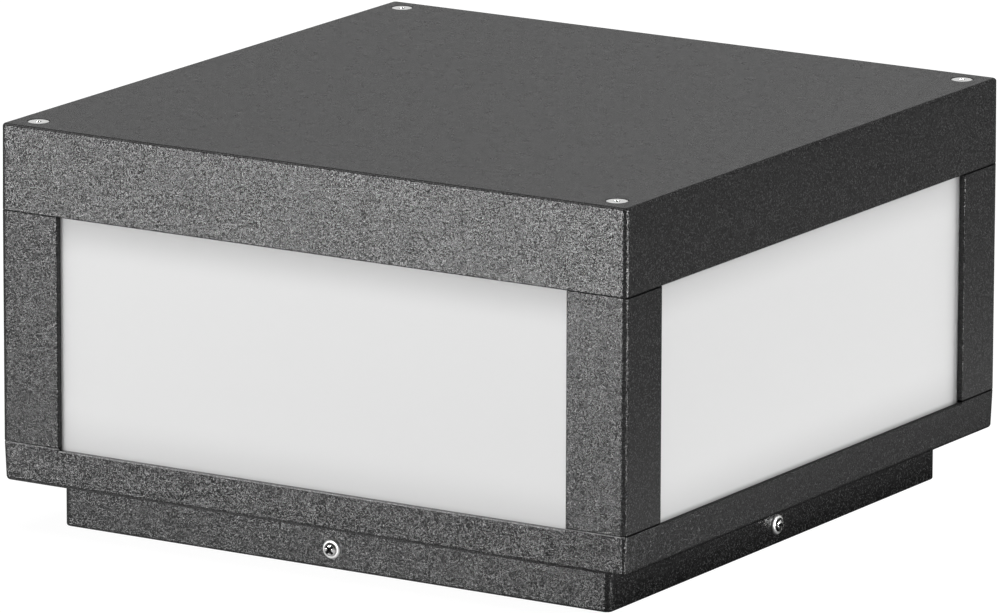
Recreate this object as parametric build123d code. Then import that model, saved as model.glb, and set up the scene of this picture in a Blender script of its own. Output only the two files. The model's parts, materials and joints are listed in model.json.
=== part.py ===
"""Square outdoor pillar light with a screwed cap, four opal panels and a clamped plinth.

Millimetres. +Z is up, the front is -Y, and the origin is the middle of the pillar's top face.
"""

from build123d import *
import math
import os

# Overall form
body_width = 250.0
plinth_inset = 15.0
plinth_height = 17.4
tray_height = 14.0
post_height = 81.1
cap_height = 30.3

# Opal panels and the channels that hold their edges
panel_thickness = 3.0
panel_slack = 0.15
panel_engage = 7.5
panel_end_gap = 1.0
panel_rise = 3.0
panel_fall = 3.0
lower_seal_thickness = 2.0
upper_seal_thickness = 1.9
upper_seal_gap = 0.1
seal_slack = 0.1

# Corner posts: an extruded profile with an outer skin, a panel groove in each leg and a screw port
post_face = 23.3
post_skin = 2.0
post_lip = 2.0
post_web = 2.0
post_corner_radius = 2.0
post_arris_radius = 0.6
post_end_radius = 0.3
screw_inset = 9.5
port_wall = 2.0
port_web = 3.0

# Cap
cap_wall = 3.0
cap_top_thickness = 3.0
cap_draft = 0.4
cap_corner_radius = 2.0
cap_top_edge_radius = 1.1
cap_lower_edge_radius = 0.45
cap_rail_roof = 2.0
corner_pad_margin = 1.4
cap_boss_radius = 5.5
cap_boss_web = 2.5
cap_rib_thickness = 2.0
cap_rib_depth = 5.0

# Base tray
tray_floor = 3.0
tray_draft = 2.5
tray_corner_radius = 2.0
tray_lower_edge_radius = 1.5
tray_upper_edge_radius = 0.45
sill_drop = 0.75

# Plinth skirt
skirt_wall = 3.0
skirt_corner_radius = 2.6
skirt_lower_edge_radius = 0.8
skirt_flange_width = 10.0
skirt_flange_thickness = 2.5
skirt_screw_setback = 40.0
skirt_boss_radius = 4.0
skirt_boss_height = 4.0

# Mounting bracket, folded from sheet
bracket_thickness = 2.0
bracket_bend_radius = 1.5
tab_width = 60.0
tab_headroom = 2.5
tab_reach = 6.0
bracket_corner_radius = 10.0
tab_corner_radius = 5.0
anchor_edge = 28.2
anchor_slot_width = 6.5
anchor_slot_length = 14.0
cable_hole_radius = 17.5

# Clamp screws, which press on the bracket's tabs from the middle of each plinth side
clamp_height = 7.0
clamp_shank_radius = 1.9
clamp_head_radius = 3.5
clamp_head_height = 2.2
clamp_head_gap = 0.05
clamp_boss_radius = 4.5
clamp_boss_depth = 2.6
clamp_boss_gap = 0.2
clamp_tip_gap = 0.1

# Fasteners
thread_clearance = 0.1
shank_clearance = 0.25
m4_radius = 2.0
m4_head_radius = 3.8
m4_head_height = 2.6
m3_radius = 1.5
m3_head_radius = 2.8
m3_head_height = 2.0
head_dome = 0.7
cap_screw_head_radius = 3.85
cap_screw_length = 40.0
cap_sink_clearance = 0.2
post_screw_grip = 12.0
post_screw_recess = 3.0
counterbore_clearance = 0.5
blind_hole_slack = 1.0
retainer_radius = 3.9
retainer_height = 1.1
retainer_gap = 0.1

# Reflector sheet under the cap
reflector_thickness = 1.0
reflector_drop = 1.0
reflector_edge_gap = 0.7
reflector_boss_setback = 45.0
reflector_boss_radius = 4.5
reflector_screw_length = 8.0

# Gear cover, the white tray over the wiring
cover_thickness = 1.0
cover_edge_gap = 12.7
cover_flange = 8.0
cover_corner_radius = 4.0
cover_boss_inset = 15.0
cover_boss_radius = 4.5
cover_screw_length = 8.0
gear_headroom = 1.5

# LED board
led_rows = 6
led_pitch = 16.0
led_length = 3.5
led_width = 2.8
led_height = 0.8
led_board_thickness = 1.6
led_board_margin = 15.0
led_board_corner_radius = 4.0
led_screw_inset = 6.0
led_screw_tip_gap = 0.1
connector_length = 8.0
connector_width = 7.0
connector_height = 5.5

# Driver
driver_width = 40.0
driver_length = 88.0
driver_height = 16.0
driver_x = -48.0
driver_edge_radius = 2.0
driver_lid_thickness = 3.0
driver_ear_length = 9.0
driver_ear_width = 14.0
driver_ear_thickness = 3.0
driver_boss_height = 3.0
driver_boss_radius = 3.5
driver_screw_length = 7.0
led_port_offset = 14.0
mains_port_offset = 11.0

# Terminal block
terminal_x = 30.0
terminal_y = 68.0
terminal_width = 20.0
terminal_height = 13.0
terminal_poles = 3
terminal_pitch = 9.0
terminal_end_wall = 2.0
terminal_pad_height = 2.0
terminal_well_radius = 2.2
terminal_well_depth = 5.0
terminal_port_radius = 1.6
terminal_port_depth = 5.0
terminal_screw_height = 2.0
terminal_fixing_length = 3.5
terminal_step = 4.0

# Earth point
earth_x = -5.0
earth_y = 30.0
earth_boss_radius = 4.5
earth_screw_length = 6.5
lug_radius = 4.4
lug_thickness = 0.8
lug_barrel_radius = 1.6
lug_barrel_start = 5.0
lug_barrel_length = 7.0
washer_radius = 4.2
washer_thickness = 0.8

# Cable gland in the tray's floor
gland_bore_radius = 5.0
gland_thread_radius = 7.9
gland_flats = 22.0
gland_flange_height = 4.0
gland_seal_thickness = 1.5
gland_seal_radius = 11.0
gland_lower_thread = 5.0
gland_upper_thread = 7.0
gland_nut_wall = 2.0
gland_nut_end = 1.2
gland_nut_gap = 0.2
gland_insert_height = 1.8
gland_insert_bore_radius = 4.5
locknut_height = 4.0

# Leads
mains_lead_radius = 1.1
led_lead_radius = 0.8
led_lead_pitch = 2.6
led_lead_bend = 6.0
lead_bend_share = 0.7
lead_height = 6.5
grommet_reach = 15.0
grommet_bore_radius = 3.4
grommet_neck_radius = 5.0
grommet_flange_radius = 6.5
grommet_flange_thickness = 1.0
fit_gap = 0.05

# Levels and half-widths that several pieces share
half = body_width / 2
z_tray = plinth_height
z_floor = z_tray + tray_floor
z_rim = z_tray + tray_height
z_sill = z_rim - sill_drop
z_cap = z_rim + post_height
z_top = z_cap + cap_height
plinth_half = half - plinth_inset
groove_width = panel_thickness + 2 * panel_slack
groove_depth = panel_engage + panel_end_gap
leg_depth = post_skin + groove_width + post_lip
panel_half = half - post_face + panel_engage
panel_outer = half - post_skin - panel_slack
channel_half = panel_half + panel_end_gap
upper_channel = panel_rise + upper_seal_thickness + upper_seal_gap
lower_channel = panel_fall + lower_seal_thickness
cap_rail = upper_channel + cap_rail_roof
port_radius = m4_radius + thread_clearance
screw_at = half - screw_inset
pad_at = half - screw_inset - port_radius - port_wall - corner_pad_margin
skirt_inner = plinth_half - skirt_wall
skirt_screw_at = skirt_inner - skirt_flange_width / 2
skirt_screw_run = plinth_half - skirt_screw_setback
tab_face = skirt_inner - clamp_boss_depth - clamp_boss_gap
plate_half = tab_face - tab_reach
anchor_at = plate_half - anchor_edge
tab_top = plinth_height - skirt_flange_thickness - tab_headroom
z_gear = z_floor + driver_height + gear_headroom
z_board = z_gear + cover_thickness
z_leds = z_board + led_board_thickness
cover_half = half - leg_depth - cover_edge_gap
cover_boss_at = cover_half - cover_boss_inset
board_half = (led_rows - 1) / 2 * led_pitch + led_board_margin
led_screw_at = board_half - led_screw_inset
z_reflector = z_cap + reflector_drop
reflector_half = half - leg_depth - reflector_edge_gap
reflector_boss_at = half - reflector_boss_setback
driver_half = driver_length / 2
connector_x = driver_x + led_port_offset
driver_screw_at = driver_half + driver_ear_length / 2
grommet_y = -(board_half + grommet_reach)
terminal_length = terminal_poles * terminal_pitch + 2 * terminal_end_wall
z_terminal = z_floor + terminal_pad_height
z_lead = z_floor + lead_height
z_lug = z_lead - lug_barrel_radius

# Quarter turns about +Z, named for the piece that starts at the front or in the back right corner
SIDES = {"front": 0, "right": 90, "back": 180, "left": 270}
CORNERS = {"back_right": 0, "back_left": 90, "front_left": 180, "front_right": 270}


def square(half_width, radius=0.0):
    """A square sketch about the origin, with rounded corners where a radius is given."""
    if radius:
        return RectangleRounded(2 * half_width, 2 * half_width, radius)
    return Rectangle(2 * half_width, 2 * half_width)


def plan(x0, x1, y0, y1):
    """A rectangular sketch between two pairs of coordinates."""
    return Pos((x0 + x1) / 2, (y0 + y1) / 2) * Rectangle(x1 - x0, y1 - y0)


def prism(sketch, z0, z1, taper=0.0):
    """A sketch carried straight up from z0 to z1."""
    return extrude(Pos(0, 0, z0) * sketch, z1 - z0, taper=taper)


def slab(x0, x1, y0, y1, z0, z1):
    """A block between two corners."""
    return prism(plan(x0, x1, y0, y1), z0, z1)


def rod(radius, z0, z1, x=0.0, y=0.0):
    """An upright cylinder from z0 to z1."""
    return Pos(x, y, z0) * Cylinder(radius, z1 - z0, align=(Align.CENTER, Align.CENTER, Align.MIN))


def rod_along_y(radius, y0, y1, x, z):
    """A cylinder that runs along Y from y0 to y1."""
    base = Cylinder(radius, y1 - y0, align=(Align.CENTER, Align.CENTER, Align.MIN))
    return Pos(x, y0, z) * Rot(-90, 0, 0) * base


def rod_along_x(radius, x0, x1, y, z):
    """A cylinder that runs along X from x0 to x1."""
    base = Cylinder(radius, x1 - x0, align=(Align.CENTER, Align.CENTER, Align.MIN))
    return Pos(x0, y, z) * Rot(0, 90, 0) * base


def turned(shape, degrees):
    """The shape turned about +Z."""
    return Rot(0, 0, degrees) * shape


def all_round(shape):
    """Four copies of the shape, a quarter turn apart."""
    return [turned(shape, angle) for angle in SIDES.values()]


def group(shapes):
    """Separate solids that share one node."""
    return Compound(children=[Solid(s.solid().wrapped) for s in shapes])


def pan_screw(radius, length, head_radius, head_height):
    """A pan head on z = 0 with its shank below."""
    head = rod(head_radius, 0, head_height)
    head = fillet(head.edges().group_by(Axis.Z)[-1], head_height * head_dome)
    return head + rod(radius, -length, 0)


def sunk_cone(lower_radius, upper_radius):
    """A right-angled cone under z = 0, as a countersunk head has."""
    height = upper_radius - lower_radius
    return Cone(lower_radius, upper_radius, height, align=(Align.CENTER, Align.CENTER, Align.MAX))


def hexagon(flats, z0, z1):
    """A hexagonal prism measured across its flats."""
    return prism(RegularPolygon(flats / 2, 6, major_radius=False), z0, z1)


def tube(points, radius, bends):
    """A round lead along straight runs joined by tangent arcs."""
    path = FilletPolyline(*points, radius=bends)
    section = Plane(origin=path @ 0, z_dir=path % 0) * Circle(radius)
    return sweep(section, path=path)


def both_legs(x0, x1, y0, y1):
    """A rectangle in the post's back leg and its twin across the diagonal, in the right leg."""
    return plan(x0, x1, y0, y1) + plan(y0, y1, x0, x1)


def post_profile():
    """The post's section in the back right corner, symmetric about the diagonal."""
    skin_inner = half - post_skin
    groove_inner = skin_inner - groove_width
    tip = half - post_face
    chamber_end = tip + groove_depth + post_web
    outline = both_legs(tip, half, half - leg_depth, half)
    outer = outline.vertices().sort_by(Axis((0, 0, 0), (1, 1, 0)))[-1]
    outline = fillet(outer, post_corner_radius)
    arrises = outline.vertices().filter_by(
        lambda v: abs(min(v.X, v.Y) - tip) < fit_gap and abs(max(v.X, v.Y) - half) < fit_gap
    )
    outline = fillet(arrises, post_arris_radius)
    outline -= both_legs(tip, tip + groove_depth, groove_inner, skin_inner)
    outline -= both_legs(chamber_end, skin_inner, groove_inner, skin_inner)
    port = Pos(screw_at, screw_at) * Circle(port_radius + port_wall)
    web_length = math.sqrt(2) * abs(screw_at - groove_inner)
    middle = (screw_at + groove_inner) / 2
    web = Pos(middle, middle) * Rot(0, 0, 45) * Rectangle(web_length, port_web)
    return outline + port + web - Pos(screw_at, screw_at) * Circle(port_radius)


def corner_post():
    """A length of the profile, with the outer edges of its two ends eased."""
    post = prism(post_profile(), z_rim, z_cap)
    ends = post.edges().filter_by(Plane.XY)
    outer = ends.filter_by(lambda e: max(e.center().X, e.center().Y) > half - fit_gap)
    return fillet(outer, post_end_radius)


def panel():
    """The front panel, held on all four edges."""
    return slab(
        -panel_half, panel_half,
        -panel_outer, panel_thickness - panel_outer,
        z_rim - panel_fall, z_cap + panel_rise,
    )


def seal_strip(z0, z1):
    """A strip that lies along the front channel."""
    outer = half - post_skin - seal_slack
    inner = half - post_skin - groove_width + seal_slack
    return slab(-panel_half, panel_half, -outer, -inner, z0, z1)


def panel_channel(z0, z1):
    """The front groove that a panel's edge stands in."""
    outer = half - post_skin
    return slab(-channel_half, channel_half, -outer, groove_width - outer, z0, z1)


def corner_pad(z0, z1, wall):
    """The solid pad in the back right corner that a post bears on."""
    return slab(pad_at, half - wall / 2, pad_at, half - wall / 2, z0, z1)


def top_cap():
    outer = prism(square(half, cap_corner_radius), z_cap, z_top, taper=cap_draft)
    outer = fillet(outer.edges().group_by(Axis.Z)[-1], cap_top_edge_radius)
    outer = fillet(outer.edges().group_by(Axis.Z)[0], cap_lower_edge_radius)
    z_plate = z_top - cap_top_thickness
    z_rail = z_cap + cap_rail
    wall_middle = half - cap_wall / 2
    cap = outer - prism(square(half - cap_wall), z_cap, z_plate)
    cap += prism(square(wall_middle) - square(half - leg_depth), z_cap, z_rail)
    boss = corner_pad(z_cap, z_rail, cap_wall)
    boss += rod(cap_boss_radius, z_cap, z_plate, screw_at, screw_at)
    web_edges = (screw_at - cap_boss_web / 2, screw_at + cap_boss_web / 2)
    webs = prism(both_legs(screw_at, wall_middle, *web_edges), z_cap, z_plate)
    z_sheet = z_reflector + reflector_thickness
    reflector_boss = rod(reflector_boss_radius, z_sheet, z_plate, reflector_boss_at, reflector_boss_at)
    rib = slab(
        -wall_middle, wall_middle,
        reflector_boss_at - cap_rib_thickness / 2, reflector_boss_at + cap_rib_thickness / 2,
        z_plate - cap_rib_depth, z_plate,
    )
    for piece in (boss, webs, reflector_boss, rib):
        cap += all_round(piece)
    sink_radius = cap_screw_head_radius + cap_sink_clearance
    hole_radius = m4_radius + shank_clearance
    hole = rod(hole_radius, z_cap, z_top, screw_at, screw_at)
    sink = Pos(screw_at, screw_at, z_top) * sunk_cone(hole_radius, sink_radius)
    pocket = rod(retainer_radius + fit_gap, z_cap, z_cap + retainer_height + retainer_gap, screw_at, screw_at)
    z_pilot = z_reflector + reflector_screw_length + blind_hole_slack
    pilot = rod(m3_radius + thread_clearance, z_sheet, z_pilot, reflector_boss_at, reflector_boss_at)
    channel = panel_channel(z_cap, z_cap + upper_channel)
    for cut in (channel, hole, sink, pocket, pilot):
        cap -= all_round(cut)
    return cap


def cap_screw():
    """A countersunk screw, flush with the cap's top."""
    head = sunk_cone(m4_radius, cap_screw_head_radius)
    shank = rod(m4_radius, -cap_screw_length, m4_radius - cap_screw_head_radius)
    return Pos(screw_at, screw_at, z_top) * (head + shank)


def screw_retainer():
    """A washer that grips the cap screw's shank, so that the screw stays in the lifted cap."""
    z0 = z_cap + retainer_gap
    ring = rod(retainer_radius, z0, z0 + retainer_height) - rod(m4_radius + fit_gap, z0, z0 + retainer_height)
    return Pos(screw_at, screw_at) * ring


def cap_reflector():
    z1 = z_reflector + reflector_thickness
    sheet = prism(square(reflector_half), z_reflector, z1)
    notch_at = pad_at - reflector_edge_gap
    hole = rod(m3_radius + shank_clearance, z_reflector, z1, reflector_boss_at, reflector_boss_at)
    for cut in (slab(notch_at, half, notch_at, half, z_reflector, z1), hole):
        sheet -= all_round(cut)
    return sheet


def reflector_screw():
    screw = Rot(180, 0, 0) * pan_screw(m3_radius, reflector_screw_length, m3_head_radius, m3_head_height)
    return Pos(reflector_boss_at, reflector_boss_at, z_reflector) * screw


def sill_cut():
    """Lowers the front rim between two posts, so that rain runs off below the panel."""
    span = half - post_face
    return slab(-span, span, -half, leg_depth - half, z_sill, z_rim)


def is_outside(point):
    """Whether a point on the rim lies on the tray's outer faces."""
    return max(abs(point.X), abs(point.Y)) > half - post_skin


def base_tray():
    outer = extrude(Pos(0, 0, z_rim) * square(half, tray_corner_radius), -tray_height, taper=tray_draft)
    outer = fillet(outer.edges().group_by(Axis.Z)[0], tray_lower_edge_radius)
    outer = fillet(outer.edges().group_by(Axis.Z)[-1], tray_upper_edge_radius)
    outer -= all_round(sill_cut())
    sills = outer.edges().filter_by(lambda e: abs(e.center().Z - z_sill) < fit_gap)
    outer = fillet(sills.filter_by(lambda e: is_outside(e.center())), tray_upper_edge_radius)
    tray = outer - prism(square(half - leg_depth), z_floor, z_rim)
    tray += all_round(corner_pad(z_floor, z_rim, leg_depth))
    cover_boss = rod(cover_boss_radius, z_tray, z_gear, cover_boss_at, cover_boss_at)
    tray += all_round(cover_boss)
    for run in (-skirt_screw_run, skirt_screw_run):
        tray += all_round(rod(skirt_boss_radius, z_tray, z_floor + skirt_boss_height, run, -skirt_screw_at))
    for end in (-1, 1):
        tray += rod(driver_boss_radius, z_tray, z_floor + driver_boss_height, driver_x, end * driver_screw_at)
    tray += rod(earth_boss_radius, z_tray, z_lug, earth_x, earth_y)
    tray += slab(*terminal_footprint(), z_tray, z_terminal)
    tray -= all_round(panel_channel(z_rim - lower_channel, z_rim))
    tray -= all_round(rod(m4_radius + shank_clearance, z_tray, z_rim, screw_at, screw_at))
    recess_radius = m4_head_radius + counterbore_clearance
    tray -= all_round(rod(recess_radius, z_tray, z_tray + post_screw_recess, screw_at, screw_at))
    thread = m4_radius + thread_clearance
    cover_depth = cover_screw_length - cover_thickness + blind_hole_slack
    tray -= all_round(rod(thread, z_gear - cover_depth, z_gear, cover_boss_at, cover_boss_at))
    z_skirt_hole = z_floor + skirt_boss_height - blind_hole_slack
    for run in (-skirt_screw_run, skirt_screw_run):
        tray -= all_round(rod(thread, z_tray, z_skirt_hole, run, -skirt_screw_at))
    for end in (-1, 1):
        top = z_floor + driver_boss_height
        depth = driver_screw_length - driver_ear_thickness + blind_hole_slack
        tray -= rod(m3_radius + thread_clearance, top - depth, top, driver_x, end * driver_screw_at)
    earth_depth = earth_screw_length - lug_thickness - washer_thickness + blind_hole_slack
    tray -= rod(thread, z_lug - earth_depth, z_lug, earth_x, earth_y)
    z_fixing = z_terminal - terminal_fixing_length
    tray -= rod(m3_radius + thread_clearance, z_fixing, z_terminal, *terminal_fixing_at())
    return tray - rod(gland_thread_radius + shank_clearance, z_tray, z_floor)


def post_screw():
    """Holds a post to the tray from below, with its head sunk in the tray's underside."""
    seat = z_tray + post_screw_recess
    length = z_rim - seat + post_screw_grip
    screw = Rot(180, 0, 0) * pan_screw(m4_radius, length, m4_head_radius, m4_head_height)
    return Pos(screw_at, screw_at, seat) * screw


def plinth_skirt():
    skirt = prism(square(plinth_half, skirt_corner_radius), 0, z_tray)
    skirt = fillet(skirt.edges().group_by(Axis.Z)[0], skirt_lower_edge_radius)
    z_flange = z_tray - skirt_flange_thickness
    skirt -= prism(square(skirt_inner), 0, z_flange)
    skirt -= prism(square(skirt_inner - skirt_flange_width), z_flange, z_tray)
    boss_start = -skirt_inner - skirt_wall / 2
    boss_end = clamp_boss_depth - skirt_inner
    skirt += all_round(rod_along_y(clamp_boss_radius, boss_start, boss_end, 0, clamp_height))
    thread = clamp_shank_radius + thread_clearance
    skirt -= all_round(rod_along_y(thread, -plinth_half, boss_end, 0, clamp_height))
    for run in (-skirt_screw_run, skirt_screw_run):
        skirt -= all_round(rod(m4_radius + shank_clearance, z_flange, z_tray, run, -skirt_screw_at))
    return skirt


def skirt_screw(run):
    """Holds the skirt's flange up against the tray."""
    length = skirt_flange_thickness + tray_floor + skirt_boss_height - 2 * blind_hole_slack
    screw = Rot(180, 0, 0) * pan_screw(m4_radius, length, m4_head_radius, m4_head_height)
    return Pos(run, -skirt_screw_at, z_tray - skirt_flange_thickness) * screw


def clamp_screw():
    """The front clamp screw, whose tip stops at the bracket's tab."""
    length = plinth_half - tab_face - clamp_tip_gap + clamp_head_gap
    screw = pan_screw(clamp_shank_radius, length, clamp_head_radius, clamp_head_height)
    return Pos(0, -plinth_half - clamp_head_gap, clamp_height) * Rot(90, 0, 0) * screw


def bracket_tab():
    """A tab folded up from the front edge of the plate."""
    section = plan(-tab_face, -plate_half + tab_reach, 0, bracket_thickness)
    section += plan(-tab_face, bracket_thickness - tab_face, 0, tab_top)
    inner = section.vertices().sort_by_distance((bracket_thickness - tab_face, bracket_thickness))[0]
    section = fillet(inner, bracket_bend_radius)
    outer = section.vertices().sort_by_distance((-tab_face, 0))[0]
    section = fillet(outer, bracket_bend_radius + bracket_thickness)
    upright = Plane(origin=(-tab_width / 2, 0, 0), x_dir=(0, 1, 0), z_dir=(1, 0, 0))
    tab = extrude(upright * section, tab_width)
    corners = tab.edges().filter_by(Axis.Y).group_by(Axis.Z)[-1]
    return fillet(corners, tab_corner_radius)


def mounting_bracket():
    plate = prism(square(plate_half, bracket_corner_radius), 0, bracket_thickness)
    plate += all_round(bracket_tab())
    slot = prism(SlotOverall(anchor_slot_length, anchor_slot_width), 0, bracket_thickness)
    for x in (-anchor_at, anchor_at):
        for y in (-anchor_at, anchor_at):
            plate -= Pos(x, y) * slot
    return plate - rod(cable_hole_radius, 0, bracket_thickness)


def gear_cover():
    """A shallow white tray turned over the wiring, with the LED board on top."""
    z_hem = z_gear - cover_flange
    outer = prism(square(cover_half, cover_corner_radius), z_hem, z_board)
    outer = fillet(outer.edges().group_by(Axis.Z)[-1], 2 * cover_thickness)
    inner_radius = cover_corner_radius - cover_thickness
    inner = prism(square(cover_half - cover_thickness, inner_radius), z_hem, z_gear)
    cover = outer - fillet(inner.edges().group_by(Axis.Z)[-1], cover_thickness)
    cover -= all_round(rod(m4_radius + shank_clearance, z_gear, z_board, cover_boss_at, cover_boss_at))
    cover -= all_round(rod(m3_radius + shank_clearance, z_gear, z_board, led_screw_at, led_screw_at))
    return cover - rod(grommet_neck_radius + fit_gap, z_gear, z_board, connector_x, grommet_y)


def cover_screw():
    screw = pan_screw(m4_radius, cover_screw_length, m4_head_radius, m4_head_height)
    return Pos(cover_boss_at, cover_boss_at, z_board) * screw


def led_board():
    board = prism(square(board_half, led_board_corner_radius), z_board, z_leds)
    return board - all_round(rod(m3_radius + shank_clearance, z_board, z_leds, led_screw_at, led_screw_at))


def led_chips():
    """A square grid of surface-mounted chips."""
    rows = [(k - (led_rows - 1) / 2) * led_pitch for k in range(led_rows)]
    chip = slab(-led_length / 2, led_length / 2, -led_width / 2, led_width / 2, z_leds, z_leds + led_height)
    return [Pos(x, y) * chip for x in rows for y in rows]


def led_screw():
    """Cuts its thread in the cover's sheet and stops short of the driver below it."""
    length = led_board_thickness + cover_thickness + gear_headroom - led_screw_tip_gap
    screw = pan_screw(m3_radius, length, m3_head_radius, m3_head_height)
    return Pos(led_screw_at, led_screw_at, z_leds) * screw


def led_connector():
    """A push-in connector at the board's front edge."""
    block = slab(
        connector_x - connector_length / 2, connector_x + connector_length / 2,
        -board_half, connector_width - board_half, z_leds, z_leds + connector_height,
    )
    front_top = block.edges().filter_by(Axis.X).group_by(Axis.Z)[-1].sort_by(Axis.Y)[-1]
    return chamfer(front_top, connector_height / 3)


def driver_plan():
    return RectangleRounded(driver_width, driver_length, driver_edge_radius)


def driver_case():
    z_lid = z_floor + driver_height - driver_lid_thickness
    case = prism(driver_plan(), z_floor, z_lid)
    ear = plan(-driver_ear_width / 2, driver_ear_width / 2, 0, driver_half + driver_ear_length)
    z_ear = z_floor + driver_boss_height
    hole = rod(m3_radius + shank_clearance, z_ear, z_ear + driver_ear_thickness, 0, driver_screw_at)
    for angle in (0, 180):
        case += turned(prism(ear, z_ear, z_ear + driver_ear_thickness), angle)
        case -= turned(hole, angle)
    return Pos(driver_x, 0) * case


def driver_lid():
    z_lid = z_floor + driver_height - driver_lid_thickness
    lid = prism(driver_plan(), z_lid, z_floor + driver_height)
    lid = fillet(lid.edges().group_by(Axis.Z)[-1], driver_lid_thickness / 2)
    return Pos(driver_x, 0) * lid


def driver_screw(end):
    seat = z_floor + driver_boss_height + driver_ear_thickness
    screw = pan_screw(m3_radius, driver_screw_length, m3_head_radius, m3_head_height)
    return Pos(driver_x, end * driver_screw_at, seat) * screw


def terminal_footprint():
    return (
        terminal_x - terminal_width / 2, terminal_x + terminal_width / 2,
        terminal_y - terminal_length / 2, terminal_y + terminal_length / 2,
    )


def terminal_row():
    """The Y of each pole, from the earth pole to the live one."""
    return [terminal_y + (k - (terminal_poles - 1) / 2) * terminal_pitch for k in range(terminal_poles)]


def terminal_fixing_at():
    """Between the first two poles, on the block's centre line."""
    return terminal_x, terminal_row()[0] + terminal_pitch / 2


def terminal_block():
    """A block with a screw well over each pole and a lead port on both sides of it."""
    x0, x1, y0, y1 = terminal_footprint()
    z1 = z_terminal + terminal_height
    block = slab(x0, x1, y0, y1, z_terminal, z1)
    block -= slab(x0, x0 + terminal_step, y0, y1, z1 - terminal_step, z1)
    block -= slab(x1 - terminal_step, x1, y0, y1, z1 - terminal_step, z1)
    for y in terminal_row():
        block -= rod(terminal_well_radius, z1 - terminal_well_depth, z1, terminal_x, y)
        block -= rod_along_x(terminal_port_radius, x0, x0 + terminal_port_depth, y, z_lead)
        block -= rod_along_x(terminal_port_radius, x1 - terminal_port_depth, x1, y, z_lead)
    return block - rod(m3_radius + shank_clearance, z_terminal, z1, *terminal_fixing_at())


def terminal_screw(y):
    z0 = z_terminal + terminal_height - terminal_well_depth
    screw = rod(terminal_well_radius - fit_gap, z0, z0 + terminal_screw_height)
    return Pos(terminal_x, y) * screw


def terminal_fixing():
    length = terminal_height + terminal_fixing_length - fit_gap
    screw = rod(m3_radius, -length, 0)
    head = rod(m3_radius + shank_clearance - fit_gap, -m3_head_height, 0)
    return Pos(*terminal_fixing_at(), z_terminal + terminal_height) * (screw + head)


def earth_lug():
    """A ring tongue under the earth screw, with a barrel crimped on the lead."""
    ring = rod(lug_radius, z_lug, z_lug + lug_thickness)
    barrel_end = lug_barrel_start + lug_barrel_length
    tail_end = lug_barrel_start + lug_barrel_length / 2
    tail = slab(-lug_barrel_radius, lug_barrel_radius, 0, tail_end, z_lug, z_lug + lug_thickness)
    barrel = rod_along_y(lug_barrel_radius, lug_barrel_start, barrel_end, 0, z_lead)
    lug = ring + tail + barrel - rod(m4_radius + shank_clearance, z_lug, z_lug + lug_thickness)
    return Pos(earth_x, earth_y) * lug


def earth_washer():
    z0 = z_lug + lug_thickness
    ring = rod(washer_radius, z0, z0 + washer_thickness) - rod(m4_radius + fit_gap, z0, z0 + washer_thickness)
    return Pos(earth_x, earth_y) * ring


def earth_screw():
    screw = pan_screw(m4_radius, earth_screw_length, m4_head_radius, m4_head_height)
    return Pos(earth_x, earth_y, z_lug + lug_thickness + washer_thickness) * screw


def gland_levels():
    """The gland's faces from its seal down: under the seal, under the flange, and the lower thread's end."""
    seal = z_tray - gland_seal_thickness
    flange = seal - gland_flange_height
    return seal, flange, flange - gland_lower_thread


def gland_body():
    seal, flange, end = gland_levels()
    body = hexagon(gland_flats, flange, seal)
    body += rod(gland_thread_radius, end, z_floor + gland_upper_thread)
    return body - rod(gland_bore_radius, end, z_floor + gland_upper_thread)


def gland_seal():
    seal = gland_levels()[0]
    return rod(gland_seal_radius, seal, z_tray) - rod(gland_thread_radius + fit_gap, seal, z_tray)


def gland_insert():
    end = gland_levels()[2]
    ring = rod(gland_thread_radius, end - gland_insert_height, end)
    return ring - rod(gland_insert_bore_radius, end - gland_insert_height, end)


def gland_nut():
    """A dome nut with six grip flats, which presses the insert on the cable."""
    _, flange, end = gland_levels()
    z1 = flange - gland_nut_gap
    z0 = end - gland_insert_height - gland_nut_end
    radius = gland_thread_radius + gland_nut_wall
    nut = rod(radius, z0, z1)
    nut = fillet(nut.edges().group_by(Axis.Z)[0], gland_nut_wall)
    nut = nut & hexagon(2 * radius - gland_nut_wall / 2, z0, z1)
    nut -= rod(gland_thread_radius + fit_gap, z0 + gland_nut_end, z1)
    return nut - rod(gland_bore_radius, z0, z1)


def gland_locknut():
    nut = hexagon(gland_flats, z_floor, z_floor + locknut_height)
    return nut - rod(gland_thread_radius + fit_gap, z_floor, z_floor + locknut_height)


def lead_grommet():
    """A rubber bush in the gear cover, gripping the sheet between two flanges."""
    z0 = z_gear - grommet_flange_thickness
    z1 = z_board + grommet_flange_thickness
    bush = rod(grommet_neck_radius, z0, z1) + rod(grommet_flange_radius, z0, z_gear)
    bush += rod(grommet_flange_radius, z_board, z1)
    return Pos(connector_x, grommet_y) * (bush - rod(grommet_bore_radius, z0, z1))


def led_lead(side):
    """From the driver's front end up through the grommet to the board's connector."""
    x = connector_x + side * led_lead_pitch / 2
    z_plug = z_leds + connector_height / 2
    points = [
        (x, -driver_half, z_lead),
        (x, grommet_y, z_lead),
        (x, grommet_y, z_plug),
        (x, -board_half, z_plug),
    ]
    return tube(points, led_lead_radius, led_lead_bend)


def mains_lead(driver_port_x, pole):
    """From the driver's back end round to a pole of the terminal block."""
    y = terminal_row()[pole]
    points = [
        (driver_port_x, driver_half, z_lead),
        (driver_port_x, y, z_lead),
        (terminal_footprint()[0], y, z_lead),
    ]
    return tube(points, mains_lead_radius, (y - driver_half) * lead_bend_share)


def earth_lead():
    """From the lug's barrel to the earth pole."""
    y = terminal_row()[0]
    start = earth_y + lug_barrel_start + lug_barrel_length
    points = [
        (earth_x, start, z_lead),
        (earth_x, y, z_lead),
        (terminal_footprint()[0], y, z_lead),
    ]
    return tube(points, mains_lead_radius, (y - start) * lead_bend_share)


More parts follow.
